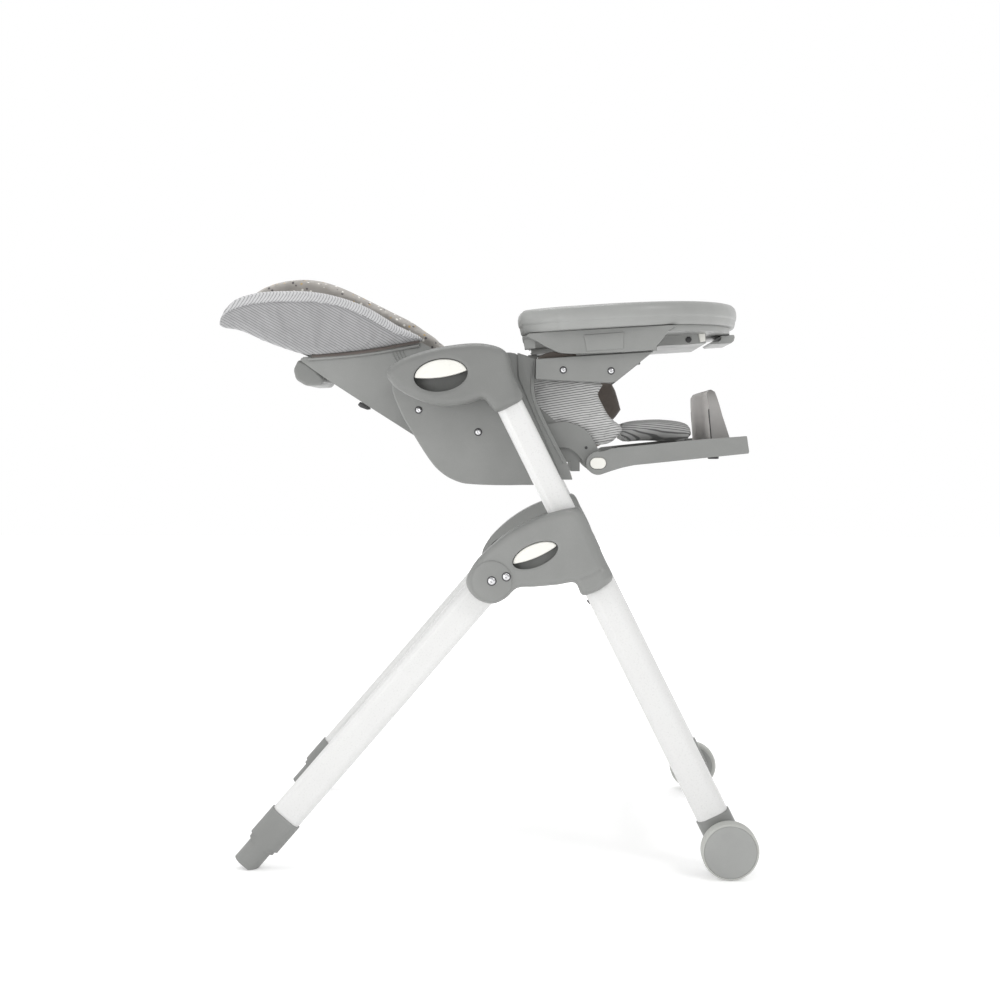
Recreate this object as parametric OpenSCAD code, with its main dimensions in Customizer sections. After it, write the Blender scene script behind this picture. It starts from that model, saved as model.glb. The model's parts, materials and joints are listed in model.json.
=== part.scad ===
// Reclining baby high chair on a folding leg frame.
// +X is forward, +Y is the sitter's left and +Z is up, in millimetres.
// The origin is on the floor, under the middle of the chair's box.

/* [Leg frame] */
// Lean of the front legs from upright
leg_tilt = 26.4; // [25.5:0.1:27]
// Lean of the rear legs from upright when open
rear_tilt = 40.8; // [40:0.1:41.4]
// Side view width of the front leg tube
leg_w = 48; // [46:1:49]
// Thickness of the front leg tube across the chair
leg_t = 30; // [29:1:31]
// Wall of the steel tubes
tube_wall = 2; // [1.2:0.1:2]
// Side view width of the sliding upper tube
upper_w = 40; // [36:1:41]
// Thickness of the sliding upper tube across the chair
upper_t = 22; // [18:1:23]
// Side view width of the rear leg tube
rear_w = 47; // [42:1:48]

/* [Wheels] */
// Radius of the front wheels over the tyre
wheel_r = 41.5; // [40:0.5:41.5]
// Width of a wheel
wheel_w = 25; // [20:1:26]

/* [Seat] */
// Half width of the seat over its side covers
seat_half = 205; // [203:1:206]
// Half width of the space between the side pads
sit_half = 157; // [150:1:158]
// Half width of the backrest over its wings
wing_half = 171; // [165:1:172]

/* [Tray] */
// Half width of the tray
tray_half = 258; // [250:1:262]
// Height of the tray's rim
tray_rim = 34; // [30:1:36]
// Rise of the tray towards the front
tray_tilt = 3.3; // [2.5:0.1:4]

/* [Hidden] */
$fn = 64;

// Sight colours
grey = [0.55, 0.55, 0.545];
dark_grey = [0.42, 0.42, 0.41];
light_grey = [0.72, 0.72, 0.715];
white = [0.92, 0.92, 0.91];
taupe = [0.43, 0.40, 0.38];
cloth = [0.78, 0.78, 0.77];
steel = [0.75, 0.75, 0.76];

// Front wheel axle
axle = [362.5, wheel_r];
axle_r = 5;
// Running gap on a radius between an axle or pin and its hole
fit_gap = 0.05;
// Gap left between flat faces of parts that move past each other
gap = 0.6;
// Middle of the leg tubes across the chair
leg_y = 250;
wheel_in = 267.5;
// Distances up the front leg from the axle
leg_foot = 50;
leg_top = 530;
hub_foot = 424;
upper_foot = 330;
upper_top = 790;
socket_foot = 721;
// Rear leg pivot, side view
pivot = [17.4, 433.3];
pivot_r = 5;
fold_range = 66;
rear_y0 = 236;
rear_t = 24;
rear_tube_l = 484;
rear_foot_l = 562;
// Outer faces across the chair
hub_y0 = 232;
hub_y1 = 287;
housing_y1 = 275;
// Lens openings of the two squeeze grips: middle, half length, half height and tilt
hub_lens = [80, 470.5, 35, 16.8, 23];
grip_lens = [-57, 730, 39.5, 23.8, 8];
// Backrest hinge and leg rest hinge, side view
back_hinge = [-5.6, 648];
knee = [173, 601.4];
knee_r = 6;
hinge_r = 6;
back_half = 155;
cover_screws = [[-95, 681], [-6, 648]];
// Tray plane: a point on the underside of the rim
tray_base = [52, 792.2];
tray_front = 400;

// Side view outlines, walked clockwise from the rear
hub_edge = [
    [-20, 427], [-15, 447], [2, 469], [30, 494], [62, 514], [97, 529], [128, 537], [145, 536],
    [157, 514], [170, 489], [181, 462], [192, 438], [178, 423], [160, 414], [147, 413],
    [137, 430], [112, 427], [80, 424], [54, 422], [37, 407], [17, 399], [-6, 407]
];
housing_edge = [
    [-136, 735], [-115, 753], [-71, 768], [-30, 775], [2, 776], [28, 770], [41, 758],
    [46, 737], [54, 716], [61, 697], [42, 684], [24, 677], [14, 686], [3, 696], [-20, 689],
    [-45, 685], [-75, 689], [-105, 701], [-127, 716]
];
cover_edge = [
    [-135, 716], [-123, 680], [-109, 654], [-80, 608], [-62, 588], [-42, 576], [-15, 570],
    [60, 569], [117, 576], [99, 630], [81, 672], [66, 705], [55, 732], [54, 762],
    [20, 766], [-60, 756], [-120, 738]
];
flange_edge = [
    [57, 766], [79, 757], [78, 730], [76, 715], [79, 696], [94, 662], [108, 635],
    [127, 599], [134, 577], [121, 577], [119, 588], [83, 672], [69, 704], [58, 730]
];
rail_edge = [[80, 756], [79.5, 726], [192, 721], [200, 724], [254, 767], [240, 766], [140, 760]];
shell_floor = [[-38, 598], [-108, 644], [-174, 686], [-245, 732], [-281, 758]];
shell_top = [
    [-276, 763], [-215, 766], [-133, 777], [-94, 784], [-72, 772], [-30, 706], [-6, 670],
    [6, 650], [-6, 634]
];
wing_edge = [
    [-404, 815], [-397, 833], [-378, 851], [-342, 861], [-296, 863], [-256, 861], [-215, 852],
    [-174, 836], [-133, 811], [-92, 789], [-133, 781], [-174, 774], [-215, 769], [-268, 766],
    [-322, 782], [-371, 803], [-398, 808]
];
insert_edge = [
    [-352, 848], [-342, 862], [-318, 877], [-290, 887], [-257, 883], [-223, 873], [-181, 853],
    [-145, 835], [-117, 821], [-95, 806], [-72, 788], [-62, 756], [-74, 713], [-110, 735],
    [-180, 775], [-260, 813], [-330, 841]
];
side_pad_edge = [
    [40, 727], [171, 725], [177, 701], [184, 686], [192, 670], [209, 656], [195, 645],
    [150, 640], [60, 634], [24, 634], [16, 660], [20, 715]
];
bracket_edge = [
    [80, 664], [99, 661], [125, 664], [151, 654], [164, 640], [174, 622], [185, 612],
    [189, 601], [185, 591], [173, 586], [161, 589], [154, 596], [150, 604], [141, 615],
    [129, 623], [115, 624], [100, 610]
];
leg_arm_edge = [
    [178, 618.5], [186, 620.5], [191, 623], [268.5, 631], [314, 636], [368.5, 640],
    [394.5, 642], [398, 619], [397, 616], [357.5, 612], [328, 609], [227, 598.5], [210, 595],
    [195, 590.5], [178, 584.7]
];

// Catmull-Rom point between b and c
function spline_point(a, b, c, d, t) =
    b + 0.5 * t * ((c - a) + t * (2 * a - 5 * b + 4 * c - d + t * (3 * (b - c) + d - a)));

// Closed smooth outline through a list of points
function smooth(p, n = 4) = let (m = len(p)) [
    for (i = [0 : m - 1], k = [0 : n - 1])
        spline_point(p[(i + m - 1) % m], p[i], p[(i + 1) % m], p[(i + 2) % m], k / n)
];

// Turns a side view shape into a plate from y0 to y1
module slab(y0, y1) {
    translate([0, y1, 0]) rotate([90, 0, 0]) linear_extrude(y1 - y0) children();
}

// Keeps a part and adds its mirror image on the sitter's right
module both_sides() {
    children();
    mirror([0, 1, 0]) children();
}

// Shaft across the chair from y0 to y1 at a side view point
module cross_pin(at, r, y0, y1) {
    translate([at[0], y1, at[1]]) rotate([90, 0, 0]) cylinder(r = r, h = y1 - y0);
}

// Flat oval, long along x
module stadium(l, w) {
    square([l - w, w], center = true);
    for (s = [-1, 1]) translate([s * (l - w) / 2, 0]) circle(d = w);
}

// Oval with the given half length and half height
module lens(half_l, half_h) {
    polygon([for (a = [0 : 7.5 : 352.5]) [half_l * cos(a), half_h * sin(a)]]);
}

// Lens opening of a grip in side view, grown by the given amount
module lens_at(spec, grow = 0) {
    translate([spec[0], spec[1]]) rotate(spec[4]) lens(spec[2] + grow, spec[3] + grow);
}

// Upper part of a lens opening that a squeeze lever fills
module lever_face(spec, drop) {
    r = spec[2] * 4;
    translate([spec[0], spec[1]]) rotate(spec[4]) intersection() {
        lens(spec[2] - 0.8, spec[3] - 0.8);
        translate([0, r - drop]) circle(r);
    }
}

// Distance s up the front leg
module up_leg(s) {
    translate([axle[0], leg_y, axle[1]]) rotate([0, -leg_tilt, 0]) translate([0, 0, s]) children();
}

// Distance t down the rear leg from its pivot
module down_rear(t) {
    translate([pivot[0], rear_y0 + rear_t / 2, pivot[1]])
        rotate([0, 180 + rear_tilt, 0]) translate([0, 0, t]) children();
}

// Tray frame: x along the tray from its rear tip, z up from the rim's underside
module on_tray() {
    translate([tray_base[0], 0, tray_base[1]]) rotate([0, -tray_tilt, 0]) children();
}

// ---- Front leg frame ----

module front_leg() {
    color(white) up_leg(leg_foot) linear_extrude(leg_top - leg_foot) difference() {
        stadium(leg_w, leg_t);
        stadium(leg_w - 2 * tube_wall, leg_t - 2 * tube_wall);
    }
}

module front_crossbar() {
    half = leg_y - leg_t / 2;
    color(white) translate([0, half, 0]) up_leg(88) translate([0, -leg_y, 0])
        rotate([90, 0, 0]) linear_extrude(2 * half) rotate(90) difference() {
            stadium(38, 20);
            stadium(34, 16);
        }
}

module wheel_socket() {
    wide = leg_w + 4;
    color(grey) difference() {
        union() {
            up_leg(0) linear_extrude(leg_foot) stadium(wide, leg_t + 2);
            cross_pin(axle, wide / 2 - 0.4, leg_y - leg_t / 2 - 0.5, leg_y + leg_t / 2 + 0.5);
            up_leg(leg_foot) linear_extrude(40) stadium(leg_w - 2 * tube_wall - 1, leg_t - 2 * tube_wall - 1);
        }
        cross_pin(axle, axle_r, leg_y - leg_t, leg_y + leg_t);
    }
}

module front_axles() {
    color(steel) both_sides() cross_pin(axle, axle_r, leg_y - leg_t / 2, wheel_in + wheel_w - 5);
}

// Side view of the space that the rear leg sweeps inside the hub
module rear_sweep() {
    half = rear_w / 2 + 1.2;
    reach = 75;
    open_dir = [-sin(rear_tilt), -cos(rear_tilt)];
    shut = fold_range - rear_tilt;
    shut_dir = [sin(shut), -cos(shut)];
    back = pivot + half * [-cos(rear_tilt), sin(rear_tilt)];
    front = pivot + half * [cos(shut), sin(shut)];
    polygon([back, back + reach * open_dir, front + reach * shut_dir, front]);
    translate(pivot) circle(half + 1);
}

module hub() {
    color(grey) difference() {
        slab(hub_y0, hub_y1) polygon(smooth(hub_edge));
        slab(hub_y0 - 1, rear_y0 + rear_t + 2) rear_sweep();
        // Hollow on the inner side, between the pivot and the tube
        slab(hub_y0 - 1, rear_y0 + rear_t + 2) polygon([
            [52, 444], [40, 466], [70, 494], [95, 506], [125, 446]
        ]);
        // Tube bore, with a closer bush for the sliding tube at the top
        up_leg(hub_foot - 20) linear_extrude(leg_top - hub_foot + 20) stadium(leg_w, leg_t);
        up_leg(leg_top - 1) linear_extrude(50) stadium(upper_w + 1.2, upper_t + 1.2);
        // Finger hole in the outer skin, with a wider pocket behind it for the lever
        slab(hub_y1 - 5, hub_y1 + 1) lens_at(hub_lens);
        slab(leg_y + leg_t / 2 + 2, hub_y1 - 3.5) lens_at(hub_lens, 9);
        cross_pin(pivot, pivot_r, hub_y0 - 1, hub_y1 + 1);
    }
}

module frame_fasteners() {
    color(steel) both_sides() {
        cross_pin(pivot, pivot_r, hub_y0 + 1, hub_y1);
        cross_pin(pivot, 5.5, hub_y1, hub_y1 + 2);
        cross_pin([38.5, 439.5], 5, hub_y1, hub_y1 + 2);
    }
}

module fold_lever() {
    color(white) slab(leg_y + leg_t / 2 + 8, hub_y1 - 3.5 - gap) lever_face(hub_lens, 4);
}

module wheel() {
    color(grey) difference() {
        cross_pin(axle, wheel_r - 7.5, wheel_in, wheel_in + wheel_w - 4);
        cross_pin(axle, axle_r + fit_gap, wheel_in - 1, wheel_in + wheel_w);
    }
}

module tyre() {
    color(light_grey) translate([axle[0], wheel_in, axle[1]]) rotate([-90, 0, 0])
        rotate_extrude() polygon([
            [wheel_r - 7.5, 0], [wheel_r - 2.5, 0], [wheel_r, 3], [wheel_r, wheel_w - 3],
            [wheel_r - 1.9, wheel_w], [wheel_r - 3.3, wheel_w], [wheel_r - 3.3, wheel_w - 4.1],
            [wheel_r - 7.5, wheel_w - 4.1]
        ]);
}

module wheel_cap() {
    color(grey) cross_pin(axle, wheel_r - 3.4, wheel_in + wheel_w - 4, wheel_in + wheel_w);
}

// ---- Rear leg frame ----

module rear_leg() {
    color(white) difference() {
        union() {
            down_rear(0) linear_extrude(rear_tube_l) stadium(rear_w, rear_t);
            cross_pin(pivot, rear_w / 2 - 0.4, rear_y0 + 0.3, rear_y0 + rear_t - 0.3);
        }
        down_rear(26) linear_extrude(rear_tube_l) stadium(rear_w - 2 * tube_wall, rear_t - 2 * tube_wall);
        cross_pin(pivot, pivot_r + fit_gap, rear_y0 - 1, rear_y0 + rear_t + 1);
    }
}

module rear_foot() {
    sleeve = 50;
    start = rear_tube_l - 14;
    block_w = 38;
    color(grey) intersection() {
        difference() {
            union() {
                down_rear(start) linear_extrude(sleeve) stadium(rear_w + 4, rear_t + 4);
                down_rear(start + sleeve - 1) linear_extrude(8) stadium(rear_w - 2, rear_t + 4);
                down_rear(start + sleeve + 6) linear_extrude(rear_foot_l - start - sleeve - 3)
                    stadium(block_w, rear_t + 4);
                down_rear(rear_tube_l - 60) linear_extrude(70)
                    stadium(rear_w - 2 * tube_wall - 1, rear_t - 2 * tube_wall - 1);
            }
            // Bore that takes the tube's end
            down_rear(start - 1) linear_extrude(rear_tube_l - start + 1) difference() {
                stadium(rear_w + 0.2, rear_t + 0.2);
                stadium(rear_w - 2 * tube_wall - 0.8, rear_t - 2 * tube_wall - 0.8);
            }
        }
        translate([-600, 200, 0]) cube([600, 100, 200]);
    }
}

module rear_crossbar() {
    half = rear_y0;
    color(white) translate([0, half, 0]) down_rear(420) translate([0, -rear_y0 - rear_t / 2, 0])
        rotate([90, 0, 0]) linear_extrude(2 * half) rotate(90) difference() {
            stadium(36, 18);
            stadium(32, 14);
        }
}

// ---- Seat carriage ----

module upper_tube() {
    color(white) up_leg(upper_foot) linear_extrude(upper_top - upper_foot) difference() {
        stadium(upper_w, upper_t);
        stadium(upper_w - 2 * tube_wall, upper_t - 2 * tube_wall);
    }
}

module tube_plugs() {
    color(grey) both_sides() {
        up_leg(upper_foot - 12) linear_extrude(12) stadium(upper_w + 2, upper_t + 2);
        up_leg(upper_foot) linear_extrude(30) stadium(upper_w - 2 * tube_wall - 1, upper_t - 2 * tube_wall - 1);
    }
}

module housing() {
    color(grey) difference() {
        union() {
            slab(leg_y - 18, housing_y1) polygon(smooth(housing_edge));
            // Boss that carries the seat
            slab(seat_half, leg_y - 17) translate([-52, 728]) stadium(140, 44);
        }
        up_leg(socket_foot - 30) linear_extrude(upper_top - socket_foot + 30) stadium(upper_w, upper_t);
        slab(housing_y1 - 5, housing_y1 + 1) lens_at(grip_lens);
        slab(leg_y - 6, housing_y1 - 3.5) intersection() {
            lens_at(grip_lens, 7);
            translate([-150, 600]) square([137, 200]);
        }
    }
}

module height_lever() {
    color(white) slab(leg_y + 6, housing_y1 - 3.5 - gap) lever_face(grip_lens, 3);
}

module seat_shell() {
    wall = 4;
    base_z = 603;
    outer = seat_half - 30.5;
    color(grey) {
        translate([-24, -outer, base_z]) cube([170, 2 * outer, 6]);
        both_sides() difference() {
            slab(outer - wall, outer) polygon([
                [-24, base_z + 5], [-60, 640], [-106, 668], [-106, 735], [72, 735], [78, 715],
                [80, 690], [146, 632], [146, base_z + 5]
            ]);
            cross_pin(back_hinge, hinge_r + fit_gap, outer - wall - 1, seat_half - 31);
        }
        // Bosses that take the side covers' screws
        both_sides() for (at = cover_screws) cross_pin(at, 8, outer - 0.1, seat_half - 3.6);
        // Rib that carries the leg rest brackets
        translate([132, -outer - 0.5, base_z - 14]) cube([14, 2 * outer + 1, 15]);
    }
}

module side_cover() {
    skin = 3.5;
    color(grey) difference() {
        slab(seat_half - 25, seat_half) polygon(smooth(cover_edge));
        slab(seat_half - 26, seat_half - skin) offset(delta = -skin) polygon(smooth(cover_edge));
    }
}

module front_flanges() {
    color(grey) both_sides() slab(seat_half - 25, seat_half + 3) offset(delta = -0.3)
        polygon(flange_edge);
}

module arm_rail() {
    color(grey) slab(seat_half - 25, seat_half + 15) polygon(rail_edge);
}

module seat_fasteners() {
    color(steel) both_sides() {
        for (at = cover_screws) cross_pin(at, 5, seat_half, seat_half + 2);
        for (at = [[120.5, 739.5], [191, 738]]) cross_pin(at, 4.5, seat_half + 15, seat_half + 17);
        // Hinge pins of the backrest and of the leg rest
        cross_pin(back_hinge, hinge_r, back_half - 6, seat_half - 31);
        cross_pin(knee, knee_r, seat_half - 34, seat_half - 19.2);
    }
}

module seat_pad() {
    half = sit_half - 8;
    color(taupe) slab(-half, half) polygon([
        [4, 609.5], [148, 609.5], [150, 628], [176, 632], [190, 636], [200, 646], [188, 656],
        [150, 653], [60, 642], [12, 639], [4, 636]
    ]);
}

module side_pad() {
    color(cloth) slab(sit_half + 0.5, seat_half - 35) polygon(smooth(side_pad_edge, 3));
}

module lap_harness() {
    strap_t = 3;
    lean = 32;
    color(dark_grey) {
        translate([118, -15, 655]) rotate([0, 8, 0]) cube([strap_t, 30, 26]);
        both_sides() translate([128, 24.5, 686]) rotate([0, 0, lean])
            cube([strap_t, (sit_half - 26) / cos(lean), 24]);
    }
}

module harness_buckle() {
    color(dark_grey) difference() {
        translate([118, -24, 683]) cube([18, 48, 30]);
        translate([126, -9.5, 689.5]) cube([14, 19, 17]);
    }
}

module buckle_button() {
    color(light_grey) translate([130.5, -9, 690]) cube([7, 18, 16]);
}

module crotch_guard() {
    color(taupe) slab(-26, 26) polygon([
        [172, 731], [200, 727], [214, 688], [213, 682], [202, 668], [190, 662], [178, 664],
        [170, 700]
    ]);
}

module leg_rest_brackets() {
    plate = seat_half - 30;
    color(grey) both_sides() difference() {
        slab(plate, plate + 4.5) polygon(smooth(bracket_edge, 3));
        cross_pin(knee, knee_r + fit_gap, plate - 1, plate + 6);
    }
}

// ---- Backrest ----

module back_shell() {
    skin = 4;
    raised = [for (i = [len(shell_floor) - 1 : -1 : 0]) shell_floor[i] + [2.3, 3.6]];
    color(grey) difference() {
        union() {
            slab(-back_half, back_half) polygon(concat(shell_floor, raised));
            both_sides() slab(back_half - skin, back_half) polygon(concat(shell_floor, shell_top));
        }
        cross_pin(back_hinge, hinge_r + fit_gap, -200, 200);
    }
}

module head_board() {
    half = wing_half - 37;
    color(grey) slab(-half, half) polygon([[-240, 752], [-246, 760], [-384, 822], [-390, 812]]);
}

module back_pad() {
    color(cloth) {
        both_sides() slab(wing_half - 36, wing_half) polygon(smooth(wing_edge, 3));
        slab(-wing_half + 36, wing_half - 36) polygon([
            [-20, 660], [-60, 694], [-110, 728], [-180, 768], [-250, 802], [-330, 832],
            [-380, 840], [-396, 826], [-380, 826], [-246, 764], [-100, 690], [-24, 640]
        ]);
    }
}

module head_insert() {
    color(taupe) {
        both_sides() slab(62, 104) polygon(smooth(insert_edge, 3));
        slab(-62, 62) polygon([
            [-346, 845], [-330, 862], [-300, 866], [-250, 842], [-180, 806], [-100, 766],
            [-62, 742], [-66, 702], [-110, 731], [-180, 771], [-250, 805], [-330, 836]
        ]);
    }
}

module shoulder_straps() {
    color(dark_grey) both_sides() slab(28, 50) polygon([
        [-250, 843], [-180, 807], [-100, 767], [-61, 743], [-60, 747], [-99, 771],
        [-179, 811], [-249, 847]
    ]);
}

module recline_handle() {
    color(grey) slab(-62, 62) polygon([
        [-300, 764], [-308, 748], [-304, 732], [-288, 722], [-264, 723], [-257, 732],
        [-272, 747], [-286, 758]
    ]);
}

// ---- Tray ----

// Plan of the tray in its own frame, grown by the given amount
module tray_plan(grow = 0) {
    long = tray_front - tray_base[0];
    mid = 105;
    nose = long - mid;
    rear = [[4, 214], [20, 234], [60, 251]];
    right_rear = [for (p = rear) [p[0], -p[1]]];
    front = [for (a = [-84 : 7 : 84]) [
        mid + nose * pow(abs(cos(a)), 0.82),
        tray_half * sign(sin(a)) * pow(abs(sin(a)), 0.9)
    ]];
    offset(delta = grow) difference() {
        polygon(concat(right_rear, front, [for (i = [2 : -1 : 0]) rear[i]]));
        translate([-72, 0]) circle(185);
    }
}

module tray() {
    floor_t = 8;
    color(light_grey) on_tray() translate([0, 0, 0.3]) difference() {
        linear_extrude(tray_rim) tray_plan();
        translate([0, 0, floor_t]) linear_extrude(tray_rim) tray_plan(-16);
    }
}

module tray_carrier() {
    color(light_grey) on_tray() {
        translate([0, 0, -9]) linear_extrude(9) intersection() {
            tray_plan(-12);
            translate([0, -seat_half - 16.5]) square([400, 2 * seat_half + 33]);
        }
        // Runners that rest on the arm rails
        both_sides() translate([86, seat_half - 20, -36.4]) cube([119, 31, 28]);
        // Rear tabs and the tub below the deck, open to the front for the release hook
        both_sides() translate([10, 190, -22]) cube([16, 26, 13.5]);
        difference() {
            translate([214, -118, -24]) cube([74, 236, 15.2]);
            translate([218, -114, -21]) cube([80, 228, 11]);
        }
    }
}

module tray_skirts() {
    color(grey) on_tray() both_sides() slab(seat_half + 16.5, seat_half + 29) polygon(smooth([
        [18, -1], [30, -14], [50, -26], [78, -34], [188, -36], [203, -31], [224, -7], [229, -1],
        [120, -0.5]
    ], 3));
}

module tray_lever() {
    color(light_grey) on_tray() slab(-60, 60) polygon([
        [318, -10], [339, -10], [340, -14], [338, -20], [334, -23], [304, -23], [301, -20.5],
        [303, -19], [314, -18.5], [318, -16]
    ]);
}

// ---- Leg rest ----

module leg_rest() {
    arm_in = seat_half - 24.8;
    arm_out = seat_half - 11;
    color(grey) difference() {
        union() {
            both_sides() slab(arm_in, arm_out) {
                polygon(leg_arm_edge);
                translate(knee) circle(17.5);
            }
            slab(-arm_in - 0.2, arm_in + 0.2) polygon([
                [216, 622], [330, 633], [394, 639], [397, 619], [370, 616], [330, 623],
                [216, 611]
            ]);
        }
        cross_pin(knee, knee_r + fit_gap, -200, 200);
        // Recess for the tilt button
        both_sides() slab(seat_half - 18.8, arm_out + 1) translate(knee) stadium(25.2, 18.2);
        // Slot that the foot plate's knob runs in
        translate([361, -4.2, 600]) cube([32, 8.4, 50]);
    }
}

module calf_pad() {
    color(cloth) slab(-128, 128) polygon(smooth([
        [206, 650], [226, 664], [272, 663], [302, 657], [320, 646], [308, 639], [270, 634],
        [224, 632]
    ], 3));
}

module tilt_button() {
    color(white) slab(seat_half - 15.6, seat_half - 10.8) translate(knee) stadium(24, 17);
}

module foot_plate() {
    color(grey) {
        intersection() {
            slab(-140, 140) polygon([
                [346, 635.2], [341, 706], [344, 712], [349, 714], [354, 710], [364, 674],
                [376, 637.9]
            ]);
            // Rounded top corners, seen from the front
            translate([300, 0, 0]) rotate([90, 0, 90]) linear_extrude(100) union() {
                translate([-110, 600]) square([220, 114]);
                translate([-140, 600]) square([280, 84]);
                for (s = [-1, 1]) translate([s * 110, 684]) circle(30);
            }
        }
    }
}

module foot_knob() {
    color(dark_grey) translate([366, 0, 0]) {
        translate([0, 0, 605]) cylinder(r = 9, h = 9);
        translate([0, 0, 613]) cylinder(r = 3.6, h = 23);
    }
}

front_leg();  // front_leg_left
mirror([0, 1, 0]) front_leg();  // front_leg_right
front_crossbar();
hub();  // hub_left
mirror([0, 1, 0]) hub();  // hub_right
wheel_socket();  // wheel_socket_left
mirror([0, 1, 0]) wheel_socket();  // wheel_socket_right
front_axles();
frame_fasteners();
fold_lever();  // fold_lever_left
mirror([0, 1, 0]) fold_lever();  // fold_lever_right
wheel();  // wheel_left
mirror([0, 1, 0]) wheel();  // wheel_right
tyre();  // tyre_left
mirror([0, 1, 0]) tyre();  // tyre_right
wheel_cap();  // wheel_cap_left
mirror([0, 1, 0]) wheel_cap();  // wheel_cap_right
rear_leg();  // rear_leg_left
mirror([0, 1, 0]) rear_leg();  // rear_leg_right
rear_foot();  // rear_foot_left
mirror([0, 1, 0]) rear_foot();  // rear_foot_right
rear_crossbar();
upper_tube();  // upper_tube_left
mirror([0, 1, 0]) upper_tube();  // upper_tube_right
tube_plugs();
housing();  // housing_left
mirror([0, 1, 0]) housing();  // housing_right
height_lever();  // height_lever_left
mirror([0, 1, 0]) height_lever();  // height_lever_right
seat_shell();
side_cover();  // side_cover_left
mirror([0, 1, 0]) side_cover();  // side_cover_right
front_flanges();
arm_rail();  // arm_rail_left
mirror([0, 1, 0]) arm_rail();  // arm_rail_right
seat_fasteners();
seat_pad();
side_pad();  // side_pad_left
mirror([0, 1, 0]) side_pad();  // side_pad_right
lap_harness();
harness_buckle();
buckle_button();
crotch_guard();
leg_rest_brackets();
back_shell();
head_board();
back_pad();
head_insert();
shoulder_straps();
recline_handle();
tray_carrier();
tray_skirts();
tray();
tray_lever();
leg_rest();
calf_pad();
tilt_button();  // tilt_button_left
mirror([0, 1, 0]) tilt_button();  // tilt_button_right
foot_plate();
foot_knob();
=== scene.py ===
"""Looks of the reclining baby high chair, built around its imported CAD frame."""
import json
import math

import bmesh
import bpy
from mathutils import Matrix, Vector, noise
from mathutils.geometry import delaunay_2d_cdt


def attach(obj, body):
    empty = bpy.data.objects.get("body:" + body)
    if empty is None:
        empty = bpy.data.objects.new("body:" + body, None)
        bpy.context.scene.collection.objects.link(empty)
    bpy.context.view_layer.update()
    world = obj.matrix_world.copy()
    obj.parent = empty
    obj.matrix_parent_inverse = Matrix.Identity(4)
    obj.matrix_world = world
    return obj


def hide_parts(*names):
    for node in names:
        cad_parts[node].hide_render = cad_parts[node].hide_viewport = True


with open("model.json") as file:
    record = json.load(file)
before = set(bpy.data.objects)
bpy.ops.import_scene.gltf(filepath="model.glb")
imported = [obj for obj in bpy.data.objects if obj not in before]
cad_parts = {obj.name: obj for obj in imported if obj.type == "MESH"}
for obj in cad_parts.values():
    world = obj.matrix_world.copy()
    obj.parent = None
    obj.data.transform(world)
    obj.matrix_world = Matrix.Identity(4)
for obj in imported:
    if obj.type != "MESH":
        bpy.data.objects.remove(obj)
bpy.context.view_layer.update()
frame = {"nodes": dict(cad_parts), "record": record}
nodes = frame["nodes"]
scene = bpy.context.scene
MM = 0.001
SIDES = {"left": 1, "right": -1}


# ---------------------------------------------------------------- materials

def srgb(r, g, b):
    """Linear colour from 0-255 screen values."""
    def one(v):
        v /= 255
        return v / 12.92 if v <= 0.04045 else ((v + 0.055) / 1.055) ** 2.4
    return (one(r), one(g), one(b), 1.0)


class Shader:
    """Small helper that adds and links the nodes of one material."""

    def __init__(self, name):
        self.mat = bpy.data.materials.new(name)
        self.mat.use_nodes = True
        self.tree = self.mat.node_tree
        self.bsdf = self.tree.nodes["Principled BSDF"]
        self.coords = self.tree.nodes.new("ShaderNodeTexCoord").outputs["Object"]

    def node(self, kind, **values):
        made = self.tree.nodes.new("ShaderNode" + kind)
        for key, value in values.items():
            if hasattr(made, key):
                setattr(made, key, value)
            else:
                made.inputs[key.replace("_", " ")].default_value = value
        return made

    def link(self, out, into):
        self.tree.links.new(out, into)

    def noise(self, scale, detail=3.0, rough=0.55, stretch=None):
        tex = self.node("TexNoise", Scale=scale, Detail=detail, Roughness=rough)
        place = self.coords
        if stretch:
            mapped = self.node("Mapping", Scale=stretch)
            self.link(place, mapped.inputs["Vector"])
            place = mapped.outputs["Vector"]
        self.link(place, tex.inputs["Vector"])
        return tex.outputs["Fac"]

    def math(self, operation, a, b=None):
        made = self.node("Math", operation=operation)
        for i, value in enumerate((a, b)):
            if value is None:
                continue
            if isinstance(value, (int, float)):
                made.inputs[i].default_value = value
            else:
                self.link(value, made.inputs[i])
        return made.outputs[0]

    def ramp(self, value, low, high, to_low=0.0, to_high=1.0):
        made = self.node("MapRange", interpolation_type="SMOOTHSTEP")
        self.link(value, made.inputs["Value"])
        for key, number in zip(("From Min", "From Max", "To Min", "To Max"),
                               (low, high, to_low, to_high)):
            made.inputs[key].default_value = number
        return made.outputs["Result"]

    def mix(self, fac, a, b):
        made = self.node("Mix", data_type="RGBA")
        self.link(fac, made.inputs["Factor"])
        for key, value in (("A", a), ("B", b)):
            socket = [s for s in made.inputs if s.name == key and s.type == "RGBA"][0]
            if isinstance(value, tuple):
                socket.default_value = value
            else:
                self.link(value, socket)
        return [s for s in made.outputs if s.type == "RGBA"][0]

    def along(self, direction):
        """Distance of a point along a direction, in metres."""
        made = self.node("VectorMath", operation="DOT_PRODUCT")
        self.link(self.coords, made.inputs[0])
        made.inputs[1].default_value = direction
        return made.outputs["Value"]

    def bump(self, height, distance, strength=1.0):
        made = self.node("Bump", Strength=strength, Distance=distance)
        self.link(height, made.inputs["Height"])
        self.link(made.outputs["Normal"], self.bsdf.inputs["Normal"])

    def finish(self, colour, rough=None, **values):
        self.link(colour, self.bsdf.inputs["Base Color"])
        if rough is not None:
            self.link(rough, self.bsdf.inputs["Roughness"])
        for key, value in values.items():
            self.bsdf.inputs[key.replace("_", " ")].default_value = value
        return self.mat


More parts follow.
